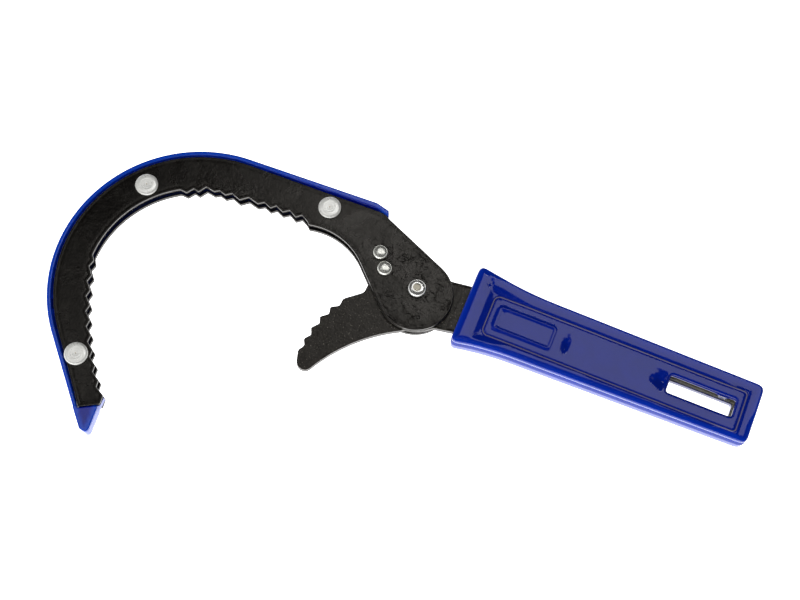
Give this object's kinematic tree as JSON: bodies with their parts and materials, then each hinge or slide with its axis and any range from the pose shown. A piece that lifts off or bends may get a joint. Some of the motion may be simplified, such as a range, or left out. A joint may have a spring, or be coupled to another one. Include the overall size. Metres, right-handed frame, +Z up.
{
  "type": "oil filter wrench",
  "caption": "Claw-type oil filter wrench: a toothed C-shaped hook with an edge guard pivots on a toothed lever with a plastic grip; self-tightening jaws, hanging slot in the handle.",
  "frame": {"origin": "centre of the box's base, in the plane of the grip's underside that the tool lies on", "axes": "+X along the handle towards its tail, +Y towards the hook's crown, +Z up through the plates"},
  "size_m": [0.298, 0.1384, 0.012],
  "materials": {
    "black_paint": "satin black paint over pressed plate, lightly pitted",
    "blue_plastic": "moulded, glossy deep blue",
    "zinc_plate": "zinc-plated rivet steel, satin",
    "bright_steel": "bright turned rivet steel"
  },
  "bodies": {
    "handle": {"lever": "black_paint", "grip": "blue_plastic"},
    "hook": {"front_cheek": "black_paint", "back_cheek": "black_paint", "edge_guard": "blue_plastic", "stop_spacer": "zinc_plate", "crown_rivet": "zinc_plate", "shoulder_rivet": "zinc_plate", "tip_rivet": "zinc_plate", "stop_rivet_upper": "zinc_plate", "stop_rivet_lower": "zinc_plate", "pivot_rivet": "bright_steel"}
  },
  "joints": [
    {"name": "hook_pivot", "type": "hinge", "parent": "handle", "child": "hook", "pos_m": [-0.0006, 0.03914, 0.0058], "axis": [0, 0, 1], "range_deg": [-75, 16]}
  ]
}
